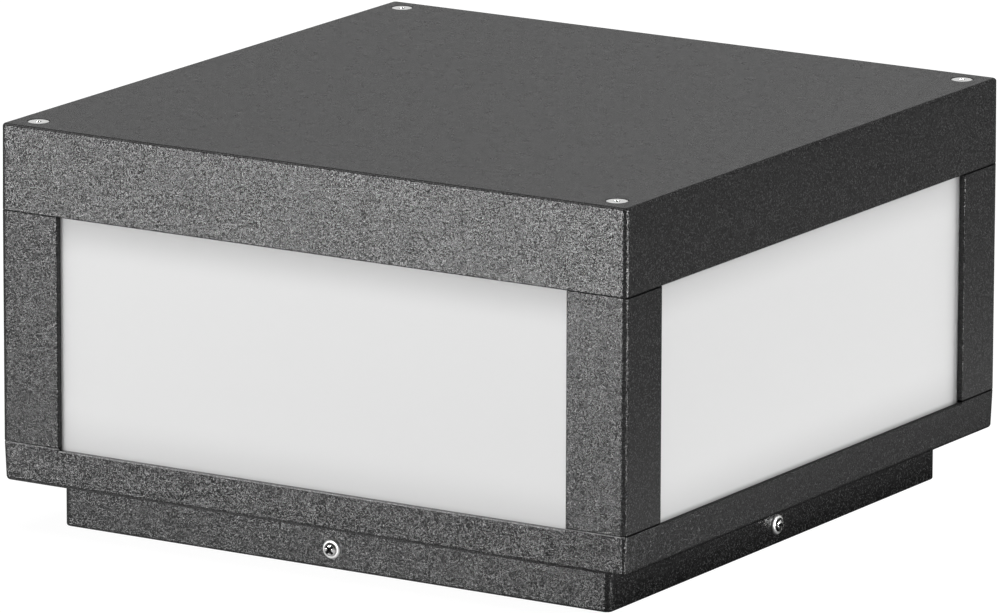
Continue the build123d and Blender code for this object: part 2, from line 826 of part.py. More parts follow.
def build_nodes():
    """Every node's name and its solid or group of solids."""
    nodes = {
        "mounting_bracket": mounting_bracket(),
        "plinth_skirt": plinth_skirt(),
        "base_tray": base_tray(),
        "top_cap": top_cap(),
        "cap_reflector": cap_reflector(),
        "gear_cover": gear_cover(),
        "led_board": led_board(),
        "led_connector": led_connector(),
        "driver_case": driver_case(),
        "driver_lid": driver_lid(),
        "terminal_block": terminal_block(),
        "terminal_fixing": terminal_fixing(),
        "earth_lug": earth_lug(),
        "earth_washer": earth_washer(),
        "earth_screw": earth_screw(),
        "gland_body": gland_body(),
        "gland_seal": gland_seal(),
        "gland_insert": gland_insert(),
        "gland_nut": gland_nut(),
        "gland_locknut": gland_locknut(),
        "lead_grommet": lead_grommet(),
        "led_lead_positive": led_lead(-1),
        "led_lead_negative": led_lead(1),
        "live_lead": mains_lead(driver_x - mains_port_offset, 2),
        "neutral_lead": mains_lead(driver_x + mains_port_offset, 1),
        "earth_lead": earth_lead(),
    }
    nodes["led_chips"] = group(led_chips())
    nodes["cap_screws"] = group(all_round(cap_screw()))
    nodes["screw_retainers"] = group(all_round(screw_retainer()))
    nodes["reflector_screws"] = group(all_round(reflector_screw()))
    nodes["post_screws"] = group(all_round(post_screw()))
    nodes["cover_screws"] = group(all_round(cover_screw()))
    nodes["led_board_screws"] = group(all_round(led_screw()))
    nodes["driver_screws"] = group([driver_screw(end) for end in (-1, 1)])
    nodes["terminal_screws"] = group([terminal_screw(y) for y in terminal_row()])
    skirt_runs = (-skirt_screw_run, skirt_screw_run)
    nodes["skirt_screws"] = group([s for run in skirt_runs for s in all_round(skirt_screw(run))])
    z_seal = z_rim - lower_channel
    nodes["lower_seals"] = group(all_round(seal_strip(z_seal, z_seal + lower_seal_thickness)))
    z_roof = z_cap + upper_channel
    nodes["upper_seals"] = group(all_round(seal_strip(z_roof - upper_seal_thickness, z_roof)))
    for name, angle in SIDES.items():
        nodes["panel_" + name] = turned(panel(), angle)
        nodes["clamp_screw_" + name] = turned(clamp_screw(), angle)
    for name, angle in CORNERS.items():
        nodes["post_" + name] = turned(corner_post(), angle)
    return nodes


def main():
    os.makedirs("parts", exist_ok=True)
    for name, shape in build_nodes().items():
        export_step(shape, f"parts/{name}.step")
        print(name, round(shape.volume, 1))


main()
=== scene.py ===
# %% [markdown]
# # A square pillar light, dressed in Blender
# The light is a box of four coated corner posts, four opal panels, a shallow cap and a tray on a plinth.
# The measured solids arrive as a fixed frame. This lesson gives every solid its finish, swaps the plain
# screws for detailed ones, and sets up the studio that shows the lot.

# %% Load the frame
import json
import math

import bpy
import numpy as np
from mathutils import Matrix, Vector


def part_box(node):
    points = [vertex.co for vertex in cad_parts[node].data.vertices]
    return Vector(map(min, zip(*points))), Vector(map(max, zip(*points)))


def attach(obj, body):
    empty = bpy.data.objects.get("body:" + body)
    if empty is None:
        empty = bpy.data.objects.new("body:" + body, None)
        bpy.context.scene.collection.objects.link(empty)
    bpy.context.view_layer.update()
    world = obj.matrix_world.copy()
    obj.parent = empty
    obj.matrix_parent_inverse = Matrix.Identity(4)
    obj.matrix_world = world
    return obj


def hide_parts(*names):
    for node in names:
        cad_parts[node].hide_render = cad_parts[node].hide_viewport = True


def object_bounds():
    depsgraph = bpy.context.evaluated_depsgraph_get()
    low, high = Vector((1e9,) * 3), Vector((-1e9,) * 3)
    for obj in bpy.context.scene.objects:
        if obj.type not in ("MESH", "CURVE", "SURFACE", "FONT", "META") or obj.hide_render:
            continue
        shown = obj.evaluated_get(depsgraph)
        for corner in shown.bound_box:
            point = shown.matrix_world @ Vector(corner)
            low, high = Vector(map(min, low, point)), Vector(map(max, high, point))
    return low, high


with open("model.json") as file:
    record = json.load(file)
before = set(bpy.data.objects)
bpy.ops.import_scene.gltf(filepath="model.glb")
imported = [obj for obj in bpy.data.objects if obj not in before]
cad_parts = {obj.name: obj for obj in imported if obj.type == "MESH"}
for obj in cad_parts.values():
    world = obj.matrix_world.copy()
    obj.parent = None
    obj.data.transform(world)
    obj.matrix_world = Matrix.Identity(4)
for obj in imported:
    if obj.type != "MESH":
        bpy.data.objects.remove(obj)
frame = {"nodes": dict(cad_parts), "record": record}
cad_low, cad_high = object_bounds()
nodes = frame["nodes"]
record = frame["record"]
node_body = {node: body for body, names in record["behaviour"]["bodies"].items() for node in names}
print("solids loaded:", len(nodes), "size in mm:", [round(1000 * s, 1) for s in cad_high - cad_low])

MM = 0.001
scene = bpy.context.scene
scene.view_settings.view_transform = "Standard"

# %% [markdown]
# ## The camera
# The picture was taken from far away with a long lens, so the edges hardly converge. A camera is easiest
# to place by the compass: an azimuth and an elevation give the direction, and three axes made from them
# give the turn. The lens and the place follow from the corners of the cap and the plinth in the picture.


# %% Place the camera
def toward_compass(azimuth, elevation):
    """The unit vector to a compass direction: azimuth 0 is the front, and a quarter turn is the right."""
    flat = math.cos(elevation)
    return Vector((math.sin(azimuth) * flat, -math.cos(azimuth) * flat, math.sin(elevation)))


camera_place = Vector((1.8458, -2.9682, 0.8863))
camera_azimuth = math.radians(31.90)
camera_elevation = math.radians(13.15)
camera_roll = math.radians(0.17)
camera_lens = 373.2

backward = toward_compass(camera_azimuth, camera_elevation)
rightward = Vector((math.cos(camera_azimuth), math.sin(camera_azimuth), 0.0))
upward = backward.cross(rightward)
rolled_right = math.cos(camera_roll) * rightward + math.sin(camera_roll) * upward
rolled_up = math.cos(camera_roll) * upward - math.sin(camera_roll) * rightward
turn = Matrix((rolled_right, rolled_up, backward)).transposed()

camera = bpy.data.objects.new("camera", bpy.data.cameras.new("camera"))
camera.data.lens = camera_lens
camera.data.sensor_width = 36.0
camera.matrix_world = Matrix.Translation(camera_place) @ turn.to_4x4()
scene.collection.objects.link(camera)
scene.camera = camera
print("camera distance in m:", round(camera_place.length, 3))

# %% [markdown]
# ## Shader maths in Python
# A finish is a small program made of nodes. Wiring nodes by hand hides the formula, so one class wraps a
# socket and lets Python's operators add the Math nodes. Its method `node` adds any other kind of node.


# %% A socket that can be added and multiplied
class Signal:
    """One shader socket. Arithmetic on it adds Math nodes, and node() adds any other node."""

    def __init__(self, tree, socket=None):
        self.tree = tree
        self.socket = socket

    def node(self, kind, settings=None, inputs=None, output=0):
        """A new node: its settings are set first, then its sockets get values or links."""
        made = self.tree.nodes.new(kind)
        for name, value in (settings or {}).items():
            setattr(made, name, value)
        for name, value in (inputs or {}).items():
            if isinstance(value, Signal):
                self.tree.links.new(value.socket, made.inputs[name])
            else:
                made.inputs[name].default_value = value
        return Signal(self.tree, made.outputs[output] if made.outputs else None)

    def maths(self, operation, *values):
        """A Math node on values that are signals or numbers."""
        return self.node("ShaderNodeMath", {"operation": operation}, dict(enumerate(values)))

    def __add__(self, other):
        return self.maths("ADD", self, other)

    def __radd__(self, other):
        return self.maths("ADD", other, self)

    def __sub__(self, other):
        return self.maths("SUBTRACT", self, other)

    def __rsub__(self, other):
        return self.maths("SUBTRACT", other, self)

    def __mul__(self, other):
        return self.maths("MULTIPLY", self, other)

    def __rmul__(self, other):
        return self.maths("MULTIPLY", other, self)

    def __abs__(self):
        return self.maths("ABSOLUTE", self)

    def step(self, low, high):
        """Runs smoothly from 0 at low to 1 at high."""
        settings = {"interpolation_type": "SMOOTHSTEP"}
        return self.node("ShaderNodeMapRange", settings, {"Value": self, "From Min": low, "From Max": high})

    def blend(self, first, second):
        """Goes from the first colour to the second as this signal goes from 0 to 1."""
        colours = {"Factor": self, 6: first, 7: second}
        return self.node("ShaderNodeMix", {"data_type": "RGBA"}, colours, output=2)


def grey(level):
    """A neutral colour from one linear level."""
    return (level, level, level, 1.0)


def darker(colour, share):
    """A colour with its three levels times share."""
    return tuple(share * level for level in colour[:3]) + (1.0,)


# %% [markdown]
# ## Starting and ending a finish
# Every finish here reads Object coordinates, which are metres in the light's own frame, so a grain of half
# a millimetre stays half a millimetre on every piece. A few helpers hold what the finishes share: how one
# starts and ends, the patterns they read, and how a solid gets one.


# %% Helpers that start and end a finish
def start_finish(name):
    """An empty material and the signal of its Object coordinates."""
    material = bpy.data.materials.new(name)
    material.use_nodes = True
    material.node_tree.nodes.clear()
    place = Signal(material.node_tree).node("ShaderNodeTexCoord", output="Object")
    return material, place


def end_finish(material, place, **sockets):
    """Gives a Principled shader its sockets and shows it."""
    inputs = {name.replace("_", " "): value for name, value in sockets.items()}
    shader = place.node("ShaderNodeBsdfPrincipled", inputs=inputs)
    place.node("ShaderNodeOutputMaterial", inputs={"Surface": shader})
    print("finish:", material.name, "nodes:", len(material.node_tree.nodes))
    return material


def axes(place):
    """The three coordinates of a vector signal."""
    return [place.node("ShaderNodeSeparateXYZ", inputs={0: place}, output=axis) for axis in "XYZ"]


def normal_axes(place):
    """The three coordinates of the surface's own normal."""
    return axes(place.node("ShaderNodeNewGeometry", output="Normal"))


def level_face(place):
    """1 where the surface faces up, 0 where it stands."""
    return normal_axes(place)[2].step(0.8, 0.98)


def noise(place, scale, detail=2.0):
    """Smooth noise from 0 to 1, with about `scale` features to the metre."""
    return place.node("ShaderNodeTexNoise", inputs={"Vector": place, "Scale": scale, "Detail": detail})


def cells(place, scale):
    """A random colour for each cell of a pattern with about `scale` cells to the metre."""
    pattern = {"Vector": place, "Scale": scale}
    return place.node("ShaderNodeTexVoronoi", {"feature": "F1"}, pattern, output="Color")


def cell_level(cell):
    """One random level from 0 to 1 out of a cell's colour."""
    return cell.node("ShaderNodeSeparateColor", inputs={0: cell})


def bump(height, distance, normal=None):
    """The normal of a surface that rises by `distance` metres as height goes from 0 to 1."""
    inputs = {"Height": height, "Distance": distance}
    if normal:
        inputs["Normal"] = normal
    return height.node("ShaderNodeBump", inputs=inputs)


def wear(material, *names):
    """Puts a finish on CAD nodes."""
    for name in names:
        slots = nodes[name].data.materials
        slots.clear()
        slots.append(material)


# %% [markdown]
# ## Finding the screws
# The frame holds the screws as plain turned solids, some of them several to a node. To put a detailed screw
# in each place, a node is first parted into its separate solids: corners that share a place get the lowest
# label among their triangles, again and again, until every solid has one label. Each solid's points then
# give the screw's axis, radii and lengths, so no size is written twice.


# %% Part a node into solids and measure a screw
same_spot = 0.002 * MM
thin_slice = 0.05 * MM


def solids_of(node):
    """One array of points for each separate solid in a node."""
    mesh = nodes[node].data
    points = np.empty(3 * len(mesh.vertices))
    mesh.vertices.foreach_get("co", points)
    points = points.reshape(-1, 3)
    corners = np.empty(len(mesh.loops), dtype=np.int64)
    mesh.loops.foreach_get("vertex_index", corners)
    grid = np.round(points / same_spot).astype(np.int64)
    spots, spot_of = np.unique(grid, axis=0, return_inverse=True)
    triangles = spot_of.reshape(-1)[corners].reshape(-1, 3)
    label = np.arange(len(spots))
    settled = False
    while not settled:
        lowest = label.copy()
        np.minimum.at(lowest, triangles, label[triangles].min(axis=1)[:, None])
        settled = bool((lowest == label).all())
        label = lowest
    return [points[label[spot_of.reshape(-1)] == k] for k in np.unique(label)]


def measure(points, axis):
    """A turned solid's place and sizes, in metres along and about an axis from the tip to the head.

    The radius is the distance from the axis, `shank` is the radius at the tip, and `seat` is where the
    radius first exceeds it, which is where the head starts.
    """
    axis = np.array(axis, dtype=float)
    along = points @ axis
    across = points - along[:, None] * axis
    centre = (across.min(axis=0) + across.max(axis=0)) / 2
    radius = np.linalg.norm(across - centre, axis=1)
    shank = radius[along < along.min() + thin_slice].max()
    wide = along[radius > shank + thin_slice]
    seat = wide.min() if len(wide) else along.min()
    return {
        "axis": axis,
        "centre": centre,
        "tip": along.min(),
        "seat": seat,
        "top": along.max(),
        "shank": shank,
        "head": radius.max(),
    }


cap_screw_sizes = [measure(points, (0, 0, 1)) for points in solids_of("cap_screws")]
clamp_size = measure(solids_of("clamp_screw_front")[0], (0, -1, 0))
cap_screw_head = cap_screw_sizes[0]["head"]
clamp_head = clamp_size["head"]
post_foot, post_head = (corner.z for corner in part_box("post_front_right"))
print("cap screws:", len(cap_screw_sizes), "head radius in mm:", round(1000 * cap_screw_head, 2))

# %% [markdown]
# ## The dark textured coat
# The castings and the posts are powder coated in dark grey. The baked powder leaves a skin of tiny facets,
# each leaning its own way, so the face that mirrors the key lamp glitters while the others look almost
# plain. Painting bright dots would glitter everywhere, and a smooth bump makes ripples that all face the
# lamp. Cells of a Voronoi pattern that each push the normal by a random vector behave like the real facets.
# The powder flows out flatter on a level face. A coarser pattern makes a few grains paler. Masks made from
# the height and the side then paint light and shade into the colour: black painted shade in the gaps where
# two pieces meet, dark matt ledges of painted shade, and a pale painted highlight on the tray's upper edge.

# %% Powder coat
coat_tone = 0.0145
facet_scale = 8000.0
fleck_scale = 2600.0
peel_scale = 260.0
peel_height = 0.01 * MM
flow_out = 0.8


def powder_coat(name, lean, shine, gap=None, ledge=None, edge_highlight=None):
    """Facets of about 0.13 mm: normal = surface normal + lean * (random vector of the cell - a half).

    The three optional masks of a place are 1 where shade is painted black into a gap between two pieces,
    where shade is painted dark and matt on a ledge, and where a highlight is painted pale on an edge.
    """
    material, place = start_finish(name)
    level = level_face(place)
    slant = lean * (1 - flow_out * level)
    cell = cells(place, facet_scale)
    centred = cell.node("ShaderNodeVectorMath", {"operation": "SUBTRACT"}, {0: cell, 1: (0.5, 0.5, 0.5)})
    push = cell.node("ShaderNodeVectorMath", {"operation": "SCALE"}, {0: centred, "Scale": slant})
    flat = place.node("ShaderNodeNewGeometry", output="Normal")
    leaning = flat.node("ShaderNodeVectorMath", {"operation": "ADD"}, {0: flat, 1: push})
    facet = leaning.node("ShaderNodeVectorMath", {"operation": "NORMALIZE"}, {0: leaning})
    chance = cell_level(cells(place, fleck_scale))
    fleck = chance.maths("POWER", chance, 4.0)
    colour = fleck.blend(grey(0.4 * coat_tone), grey(3.6 * coat_tone))
    peel = level * (noise(place, peel_scale) - 0.5)
    gloss = shine + 0.08 * peel + 0.06 * level
    gap_shade = 0.0
    # painted shade: the ledge is darkened and made matt
    if ledge:
        inside = ledge(place)
        colour = inside.blend(colour, grey(0.2 * coat_tone))
        gloss = gloss + inside * (0.95 - gloss)
    # painted highlight: a pale flecked line on the edge
    if edge_highlight:
        colour = (edge_highlight(place) * (0.3 + 0.7 * chance)).blend(colour, grey(0.34))
    # painted shade: the seams and the countersinks go black, as the shade inside a gap
    if gap:
        gap_shade = gap(place)
        colour = gap_shade.blend(colour, grey(0.002))
    return end_finish(
        material,
        place,
        Base_Color=colour,
        Metallic=gap_shade,
        Roughness=gloss,
        Specular_IOR_Level=0.5,
        Normal=bump(peel, peel_height, normal=facet),
    )


# %% [markdown]
# ## Where the coat changes
# The painted shade of a seam and a sill and the painted highlight of an edge lie at known heights, so their
# masks compare a place with the posts' feet and heads. Thin strips of mesh could draw them too, but they
# would float on the solids.


# %% Masks for the coat
def cap_screw_distance(place):
    """The distance to the axis of the nearest of the four cap screws."""
    screw_at = np.abs(cap_screw_sizes[0]["centre"])
    x, y = axes(place)[:2]
    across = abs(x) - float(screw_at[0])
    along = abs(y) - float(screw_at[1])
    return across.maths("SQRT", across * across + along * along)


def sideways(place):
    """1 on the left and right sides of the light, 0 on its front and back."""
    x, y = axes(place)[:2]
    return (abs(x) - abs(y)).step(0.0, 1.0 * MM)


def seams(place):
    """1 where shade is painted into the seams: at the posts' heads and feet on the two sides, at the feet
    on front and back.
    """
    z = axes(place)[2]
    over_foot = z - post_foot
    nearest = z.maths("MINIMUM", abs(z - post_head), abs(over_foot))
    front = over_foot.step(-0.05 * MM, 0.0) * over_foot.step(0.35 * MM, 0.25 * MM)
    beside = sideways(place)
    return beside * nearest.step(0.46 * MM, 0.28 * MM) + (1 - beside) * front


def cap_gaps(place):
    """1 where shade is painted in the cap's countersinks and in its seam."""
    sink = cap_screw_distance(place).step(cap_screw_head + 0.3 * MM, cap_screw_head + 0.1 * MM)
    return sink.maths("MAXIMUM", sink, seams(place))


def sill_shade(place):
    """1 on the tray's ledges under the two side panels, which lie a little below the posts' feet, where
    shade is painted.
    """
    z = axes(place)[2]
    above = z.step(post_foot - 0.95 * MM, post_foot - 0.80 * MM)
    below = z.step(post_foot - 0.50 * MM, post_foot - 0.60 * MM)
    return sideways(place) * level_face(place) * above * below


def arris_highlight(place):
    """1 on the rounded upper edge of the tray's front and back, where a pale highlight is painted."""
    z = axes(place)[2]
    rise = normal_axes(place)[2]
    rounded = rise.step(0.15, 0.4) * rise.step(0.98, 0.9)
    return (1 - sideways(place)) * rounded * z.step(post_foot - 1.3 * MM, post_foot - 1.1 * MM)


# %% Coat the castings and the posts
cap_coat = powder_coat("cap_coat", lean=0.40, shine=0.20, gap=cap_gaps)
post_coat = powder_coat("post_coat", lean=0.35, shine=0.21, gap=seams)
tray_coat = powder_coat("tray_coat", lean=0.64, shine=0.19, gap=seams, ledge=sill_shade, edge_highlight=arris_highlight)
plinth_coat = powder_coat("plinth_coat", lean=0.36, shine=0.20)
wear(cap_coat, "top_cap")
wear(post_coat, *[name for name in nodes if name.startswith("post_") and name != "post_screws"])
wear(tray_coat, "base_tray")
wear(plinth_coat, "plinth_skirt")

# %% [markdown]
# ## Opal panels
# Opal acrylic scatters light inside the sheet, so it looks evenly white. Towards the cap and the tray it
# is backed by dark metal, and there the colour is darkened with painted shade. Subsurface scattering could
# show part of that, but it is slow and grainy, so a soft mask made from the height in the window paints the
# shade into the colour instead. The front and back wear one copy of the finish and the sides another,
# shaded
# differently: the front and back darker under the cap, the sides darker in the ledge.

# %% Opal acrylic
panel_white = grey(0.71)
cloud_white = grey(0.7)


def opal_acrylic(name, top_shade, foot_shade, sunk_shade):
    """White acrylic with painted shade of a strength of its own under the cap, over the tray and where it
    sinks into the tray's ledge.
    """
    material, place = start_finish(name)
    up = axes(place)[2]
    from_top = (post_head - up).step(-4 * MM, 15 * MM)
    from_foot = (up - post_foot).step(-10 * MM, 16 * MM)
    from_ledge = (up - post_foot).step(-1.0 * MM, 1.2 * MM)
    cloud = noise(place, 14.0)
    # painted shade: the colour darkens under the cap, over the tray and in the ledge
    colour = from_top.blend(grey(top_shade), panel_white)
    colour = from_foot.blend(grey(foot_shade), colour)
    colour = from_ledge.blend(grey(sunk_shade), colour)
    return end_finish(
        material,
        place,
        Base_Color=(0.06 * cloud).blend(colour, cloud_white),
        Roughness=0.32 + 0.06 * noise(place, 240.0),
        Normal=bump(noise(place, 35.0), 0.02 * MM),
    )


# two copies with painted shade of different strength: front and back darker under the cap, sides darker in
# the ledge
long_opal = opal_acrylic("opal_acrylic_front", 0.44, 0.51, 0.50)
side_opal = opal_acrylic("opal_acrylic_side", 0.55, 0.50, 0.26)
wear(long_opal, "panel_front", "panel_back")
wear(side_opal, "panel_left", "panel_right")

# %% [markdown]
# ## Bright steel and the other metals
# The screws are turned and polished, the bracket is zinc coated sheet, and the earth screw and its lug are
# brass. A plain mirror would look like plastic film, so noise moves the roughness and the normal for
# hairlines, and the colour for stains. Masks leave the clamp screws' flanges matt and paint shade into the
# recesses as a dark matt colour.


# %% Metals
def metal(name, colour, roughness, scratch, matt=None, recess_shade=None):
    """Bare metal with hairlines and faint stains.

    The two masks of a place are 1 where it is unpolished, and where shade is painted into a recess.
    """
    material, place = start_finish(name)
    streak = noise(place, 900.0, detail=3.0)
    stain = noise(place, 60.0)
    gloss = roughness + 0.12 * (streak - 0.5)
    if matt:
        gloss = gloss + 0.25 * matt(place)
    shade = (0.35 * stain).blend(colour, darker(colour, 0.75))
    # painted shade: the recess goes dark and matt
    if recess_shade:
        recess_shaded = recess_shade(place)
        shade = recess_shaded.blend(shade, grey(0.02))
        gloss = gloss + recess_shaded * (0.8 - gloss)
    return end_finish(
        material,
        place,
        Base_Color=shade,
        Metallic=1.0,
        Roughness=gloss,
        Normal=bump(streak, scratch),
    )


def clamp_axis(place):
    """The distance from the nearest clamp screw's axis, and the place along that axis."""
    x, y, z = axes(place)
    beside = x.maths("MINIMUM", abs(x), abs(y))
    outward = x.maths("MAXIMUM", abs(x), abs(y))
    above = z - float(clamp_size["centre"][2])
    return above.maths("SQRT", above * above + beside * beside), outward


def flange(place):
    """1 on the flange of a clamp screw."""
    distance = clamp_axis(place)[0]
    return distance.step(0.70 * clamp_head, 0.74 * clamp_head)


def clamp_recess(place):
    """1 in the cross recess of a clamp screw, which lies inside the dome and below its face."""
    distance, outward = clamp_axis(place)
    face = clamp_size["top"] - 0.40 * MM
    inside = distance.step(0.58 * clamp_head, 0.54 * clamp_head)
    return inside * outward.step(face, face - 0.20 * MM)


def cap_recess(place):
    """1 in the cross recess of a cap screw."""
    z = axes(place)[2]
    face = cap_screw_sizes[0]["top"] - 0.25 * MM
    inside = cap_screw_distance(place).step(0.32 * cap_screw_head, 0.28 * cap_screw_head)
    return inside * z.step(face, face - 0.15 * MM)


def spangle(place):
    """About a third of the random level of each crystal in a zinc skin, which are some 6 mm across."""
    return 0.35 * cell_level(cells(place, 160.0))


# %% Make the metals
zinc_colour = (0.62, 0.64, 0.66, 1.0)
steel_hairline = 0.002 * MM
brass_hairline = 0.004 * MM
zinc_hairline = 0.006 * MM
stainless = metal("stainless_steel", (0.94, 0.94, 0.93, 1.0), 0.12, steel_hairline, recess_shade=cap_recess)
clamp_steel = metal(
    "clamp_steel", (0.92, 0.92, 0.91, 1.0), 0.24, steel_hairline, matt=flange, recess_shade=clamp_recess
)
zinc = metal("zinc_plated_steel", zinc_colour, 0.30, zinc_hairline)
zinc_sheet = metal("zinc_coated_sheet", zinc_colour, 0.26, zinc_hairline, matt=spangle)
brass = metal("brass", (0.72, 0.52, 0.22, 1.0), 0.28, brass_hairline)
wear(zinc_sheet, "mounting_bracket")
wear(zinc, "earth_washer")
wear(brass, "earth_lug")

# %% [markdown]
# ## Turned surfaces
# A screw is a profile turned about its axis. On a grid of rings and turns, the radius and the height are
# whole arrays, so a thread is a ripple added to the radius, and a recess is a pit taken from the height. A
# fan of triangles to a point closes each end. Spinning an outline with a modifier is quicker to write, but
# it can't cut the recess.


# %% Build a turned surface
off_axis = (0.3, 0.5, 0.8)
sharp_edge = math.radians(40)


def turned_points(size, radius, height):
    """Place = centre + radius * spoke(angle) + (seat + height) * axis, for arrays of rings by turns."""
    turns = radius.shape[1]
    angle = np.linspace(0.0, 2 * np.pi, turns, endpoint=False)
    side = np.cross(size["axis"], off_axis)
    side /= np.linalg.norm(side)
    front = np.cross(size["axis"], side)
    spoke = np.cos(angle)[:, None] * side + np.sin(angle)[:, None] * front
    lift = (size["seat"] + height)[..., None] * size["axis"]
    return size["centre"] + radius[..., None] * spoke + lift


def closed_faces(rings, turns, first):
    """Quads between rings, and fans that close the two ends; `first` is the number of the first point."""
    ring = np.arange(rings - 1)[:, None] * turns
    turn = np.arange(turns)[None, :]
    after = (turn + 1) % turns
    quads = np.stack([ring + turn, ring + turns + turn, ring + turns + after, ring + after], axis=-1)
    quads = quads.reshape(-1, 4) + first
    end = (rings - 1) * turns + first
    poles = first + rings * turns
    around = np.arange(turns)
    onward = (around + 1) % turns
    start_fan = np.stack([np.full(turns, poles), around + first, onward + first], axis=-1)
    end_fan = np.stack([np.full(turns, poles + 1), end + onward, end + around], axis=-1)
    return quads.tolist() + start_fan.tolist() + end_fan.tolist()


def turned_piece(name, surfaces, material, node):
    """One mesh of closed turned surfaces that stands for a CAD node and rides where it rode."""
    points = []
    faces = []
    for surface in surfaces:
        rings, turns = surface.shape[:2]
        faces += closed_faces(rings, turns, sum(len(p) for p in points))
        poles = surface[[0, -1]].mean(axis=1)
        points += [surface.reshape(-1, 3), poles]
    mesh = bpy.data.meshes.new(name)
    mesh.from_pydata(np.concatenate(points), [], faces)
    mesh.shade_smooth()
    mesh.set_sharp_from_angle(angle=sharp_edge)
    mesh.materials.append(material)
    piece = bpy.data.objects.new(name, mesh)
    scene.collection.objects.link(piece)
    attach(piece, node_body[node])
    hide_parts(node)
    print("piece:", name, "screws:", len(surfaces), "faces:", len(faces))


# %% [markdown]
# ## The parts of a screw
# Three small formulas make every screw here. A head's profile is a line from the middle of its face over
# the rim to the seat. A recess is a pit whose walls follow the two arms of a cross or one slot. A thread is
# a ripple that moves on by one pitch in each turn. A recess could also be cut with a Boolean, which leaves
# ragged shading on a small dome, so the pit is part of the surface itself.


# %% Heads, recess and thread
def ramp(low, high, value):
    """Runs smoothly from 0 at low to 1 at high."""
    share = np.clip((value - low) / (high - low), 0.0, 1.0)
    return share * share * (3 - 2 * share)


def dome(reach, low, high, fullness, rings):
    """Profile of a dome: height = low + (high - low) * (1 - (r / reach) ** f) ** (1 / f)."""
    share = np.sin(np.linspace(0.01, 1.0, rings) * np.pi / 2)
    rise = np.maximum(1 - share**fullness, 0.0) ** (1 / fullness)
    return share * reach, low + (high - low) * rise


def pan_head(size, rings):
    """A full dome that falls to the seat's edge."""
    height = size["top"] - size["seat"]
    return dome(size["head"], 0.12 * height, height, 2.6, rings)


def washer_head(size, rings):
    """A dome that rises inside a flange, whose rim is a quarter of a circle."""
    height = size["top"] - size["seat"]
    rim = 0.42 * height
    radius, rise = dome(0.70 * size["head"], 0.8 * rim, height, 2.5, rings)
    rim_angle = np.linspace(0.0, np.pi / 2, 10)
    rim_radius = size["head"] - rim + rim * np.sin(rim_angle)
    rim_height = rim * np.cos(rim_angle)
    return np.append(radius, rim_radius), np.append(rise, rim_height)


def sunk_head(size, rings):
    """A flat face, a little below the surface around it, with a narrow bright edge."""
    top = size["top"] - size["seat"] - 0.10 * MM
    face = size["head"] - 0.15 * MM
    radius = np.append(np.linspace(0.01, 0.95, rings) * face, [0.985 * face, face])
    height = np.append(np.full(rings, top), [top - 0.03 * MM, top - 0.12 * MM])
    return radius, height


def cross_pit(radius, angle, reach, depth, width):
    """Depth of a cross recess: full at the middle, shallower along the arms, with steep walls."""
    beside = np.abs(radius * np.minimum(np.abs(np.sin(angle)), np.abs(np.cos(angle))))
    arm = ramp(width, 0.7 * width, beside) * (1 - 0.55 * radius / reach)
    middle = 1.15 * ramp(0.55 * reach, 0.25 * reach, radius)
    return depth * np.maximum(arm, middle) * ramp(reach, 0.86 * reach, radius)


def slot_pit(radius, angle, depth, width):
    """Depth of a straight slot across a head: full where |r sin(angle)| is under 0.8 of the width."""
    return depth * ramp(width, 0.8 * width, np.abs(radius * np.sin(angle)))


rings_to_pitch = 6
core_share = 0.82
tip_share = 0.55
tip_length_share = 0.4


def screw(size, head, pit, turns, pitch, threaded, twist, rings=34):
    """The whole surface of a screw: face with its pit, rim, seat, plain neck, thread and tip.

    On the thread, radius = core + (shank - core) * (1 - |2 * phase - 1|), and the phase goes on by 1 in
    each pitch and in each turn.
    """
    face_radius, face_height = head(size, rings)
    length = size["seat"] - size["tip"]
    neck = max(length - threaded, 0.25 * pitch)
    thread_end = length - tip_length_share * size["shank"]
    ridge_height = -np.linspace(neck, thread_end, 1 + int(rings_to_pitch * (length - neck) / pitch))
    core = core_share * size["shank"]
    neck_radius = np.array([size["shank"], size["shank"], core])
    neck_height = np.array([0.0, -neck, -neck])
    ridge_radius = np.full(len(ridge_height), core)
    radius = np.concatenate([face_radius, neck_radius, ridge_radius, [tip_share * size["shank"]]])
    height = np.concatenate([face_height, neck_height, ridge_height, [-length]])
    angle = np.linspace(0.0, 2 * np.pi, turns, endpoint=False)[None, :]
    radius = np.repeat(radius[:, None], turns, axis=1)
    height = np.repeat(height[:, None], turns, axis=1)
    height[:rings] -= pit(radius[:rings], angle + twist)
    first_ridge = len(face_radius) + len(neck_radius)
    ridges = slice(first_ridge, first_ridge + len(ridge_height))
    phase = (height[ridges] / pitch + angle / (2 * np.pi)) % 1.0
    radius[ridges] += (size["shank"] - core) * (1 - 2 * np.abs(phase - 0.5))
    return turned_points(size, radius, height)


# %% [markdown]
# ## The screws
# The clamp screws and the cap screws are the only bright metal in the picture. The clamp screws have a
# domed head on a thin flange, and the cap screws lie just under the surface. Both have a cross recess, and
# no two were stopped at the same angle. A picture of a cross on a disc would look flat from the side, so
# they are whole surfaces. The hidden screws are made the same way with fewer turns.


# %% Clamp screws and cap screws
m4_pitch = 0.7 * MM
seen_turns = 96


def cross(size, share=0.56, depth=0.55):
    """A cross recess in proportion to a head."""
    reach = share * size["head"]
    width = 0.16 * size["head"]
    return lambda radius, angle: cross_pit(radius, angle, reach, depth * size["shank"], width)


outward = {"front": (0, -1, 0), "right": (1, 0, 0), "back": (0, 1, 0), "left": (-1, 0, 0)}
for stop, (side, axis) in enumerate(outward.items()):
    node = f"clamp_screw_{side}"
    size = measure(solids_of(node)[0], axis)
    twist = 0.4 + 0.9 * stop
    surface = screw(size, washer_head, cross(size), seen_turns, m4_pitch, 12 * MM, twist)
    turned_piece(f"clamp_screw_{side}_detailed", [surface], clamp_steel, node)

